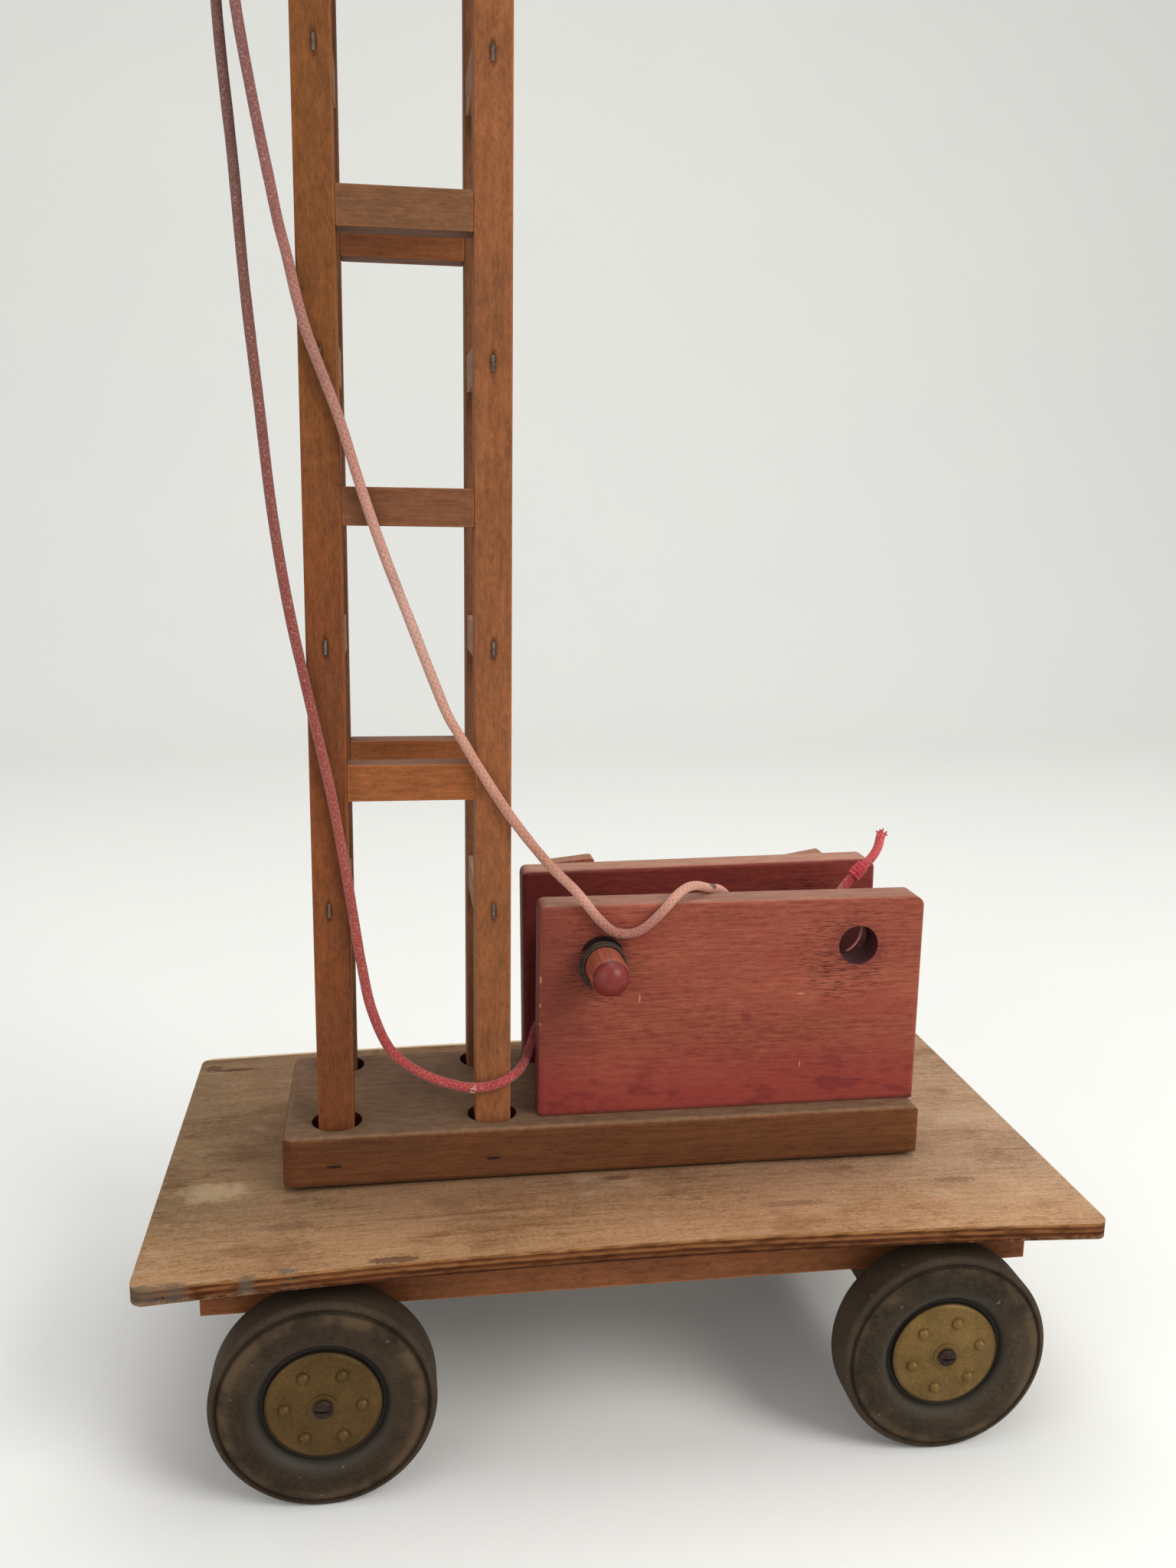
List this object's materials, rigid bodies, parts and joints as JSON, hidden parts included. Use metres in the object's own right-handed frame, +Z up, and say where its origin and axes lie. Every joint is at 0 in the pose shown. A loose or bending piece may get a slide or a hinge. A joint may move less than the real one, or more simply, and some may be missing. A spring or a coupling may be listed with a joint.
{
  "type": "wooden toy crane",
  "caption": "Wooden toy crane: slewing batten tower with a luffing jib, hook, crank winches and cords on a ply deck with rubber-tyred wheels.",
  "frame": {"origin": "on the ground under the slewing bolt", "axes": "+X along the deck towards the winch housing's end, +Y to the back, where the cranks are, +Z up"},
  "size_m": [0.5464, 0.1878, 0.6055],
  "materials": {
    "deck_ply": "worn ply, grain along its length",
    "batten_wood": "oiled orange-brown batten",
    "rung_wood": "oiled orange-brown batten",
    "beam_wood": "oiled batten",
    "block_wood": "dark worn wood",
    "plate_wood": "red-brown worn wood with dark grain",
    "crank_wood": "faded red-brown wood",
    "red_dowel": "polished pink-red dowel",
    "pale_dowel": "plain dowel",
    "turned_wood": "turned wood",
    "steel": "dull steel",
    "tyre_rubber": "dusty brown-grey rubber",
    "disc_metal": "dull khaki-gold pressed metal",
    "bush_brass": "dull metal",
    "ring_rubber": "dark rubber ring",
    "red_cord": "faded to bright red cotton cord",
    "pink_cord": "pale pink cotton cord",
    "iron": "dark iron"
  },
  "bodies": {
    "chassis": {"deck": "deck_ply", "rail_front": "batten_wood", "rail_back": "batten_wood", "axle_beam_left": "beam_wood", "axle_beam_right": "beam_wood", "axle_screws": "steel"},
    "wheel_lf": {"tyre_lf": "tyre_rubber", "discs_lf": "disc_metal", "bush_lf": "bush_brass"},
    "wheel_lb": {"tyre_lb": "tyre_rubber", "discs_lb": "disc_metal", "bush_lb": "bush_brass"},
    "wheel_rf": {"tyre_rf": "tyre_rubber", "discs_rf": "disc_metal", "bush_rf": "bush_brass"},
    "wheel_rb": {"tyre_rb": "tyre_rubber", "discs_rb": "disc_metal", "bush_rb": "bush_brass"},
    "superstructure": {"base_block": "block_wood", "slew_washer": "steel", "slew_bolt": "steel", "slew_nut": "steel", "leg_lf": "batten_wood", "leg_lb": "batten_wood", "leg_rf": "batten_wood", "leg_rb": "batten_wood", "rungs_front": "rung_wood", "rungs_back": "rung_wood", "rungs_left": "rung_wood", "rungs_right": "rung_wood", "plate_front": "plate_wood", "plate_back": "plate_wood", "head_cheeks": "batten_wood", "head_axle": "pale_dowel", "jib_pin": "pale_dowel", "jib_stop": "pale_dowel", "luff_cord": "red_cord", "hoist_cord": "pink_cord", "luff_span": "red_cord", "hoist_span": "pink_cord"},
    "winch_left": {"shaft_left": "red_dowel", "crank_left": "crank_wood", "knob_left": "crank_wood", "ring_left": "ring_rubber", "luff_winding": "red_cord"},
    "winch_right": {"shaft_right": "red_dowel", "crank_right": "crank_wood", "knob_right": "crank_wood"},
    "hoist_pulley": {"sheave_hoist": "turned_wood"},
    "luff_pulley": {"sheave_luff": "turned_wood"},
    "jib": {"jib_rail_front": "batten_wood", "jib_rail_back": "batten_wood", "jib_rungs": "rung_wood", "tip_axle": "pale_dowel"},
    "tip_roller": {"tip_sheave": "turned_wood"},
    "fall": {"tip_wrap": "pink_cord", "hook_fall": "pink_cord"},
    "hook_and_weight": {"hook_weight": "iron", "hook": "steel"}
  },
  "joints": [
    {"name": "slew", "type": "hinge", "parent": "chassis", "child": "superstructure", "pos_m": [0, 0, 0.0922], "axis": [0, 0, 1], "continuous": true},
    {"name": "roll_lf", "type": "hinge", "parent": "chassis", "child": "wheel_lf", "pos_m": [-0.1075, -0.082, 0.0385], "axis": [0, 1, 0], "continuous": true},
    {"name": "roll_lb", "type": "hinge", "parent": "chassis", "child": "wheel_lb", "pos_m": [-0.1075, 0.082, 0.0385], "axis": [0, 1, 0], "continuous": true},
    {"name": "roll_rf", "type": "hinge", "parent": "chassis", "child": "wheel_rf", "pos_m": [0.1145, -0.082, 0.0385], "axis": [0, 1, 0], "continuous": true},
    {"name": "roll_rb", "type": "hinge", "parent": "chassis", "child": "wheel_rb", "pos_m": [0.1145, 0.082, 0.0385], "axis": [0, 1, 0], "continuous": true},
    {"name": "luff_crank", "type": "hinge", "parent": "superstructure", "child": "winch_left", "pos_m": [-0.005, 0, 0.1734], "axis": [0, 1, 0], "continuous": true, "deforming": ["luff_cord"]},
    {"name": "hoist_crank", "type": "hinge", "parent": "superstructure", "child": "winch_right", "pos_m": [0.0945, 0, 0.1759], "axis": [0, 1, 0], "continuous": true},
    {"name": "hoist_pulley_spin", "type": "hinge", "parent": "superstructure", "child": "hoist_pulley", "pos_m": [-0.144, -0.0036, 0.5935], "axis": [0, 1, 0], "continuous": true},
    {"name": "luff_pulley_spin", "type": "hinge", "parent": "superstructure", "child": "luff_pulley", "pos_m": [-0.144, 0.0036, 0.5935], "axis": [0, 1, 0], "continuous": true},
    {"name": "luff", "type": "hinge", "parent": "superstructure", "child": "jib", "pos_m": [-0.1035, 0, 0.5325], "axis": [0, 1, 0], "range_deg": [0, 45], "deforming": ["luff_span", "hoist_span"]},
    {"name": "tip_roller_spin", "type": "hinge", "parent": "jib", "child": "tip_roller", "pos_m": [-0.3535, 0, 0.5325], "axis": [0, 1, 0], "continuous": true},
    {"name": "fall_swing", "type": "hinge", "parent": "jib", "child": "fall", "pos_m": [-0.3535, 0, 0.5325], "axis": [0, 1, 0], "range_deg": [-45, 0]},
    {"name": "hoist", "type": "slide", "parent": "fall", "child": "hook_and_weight", "axis": [0, 0, 1], "range_m": [-0.36, 0.03], "deforming": ["hook_fall"]}
  ],
  "couplings": [
    {"joint": "fall_swing", "follows": "luff", "ratio": -1}
  ]
}
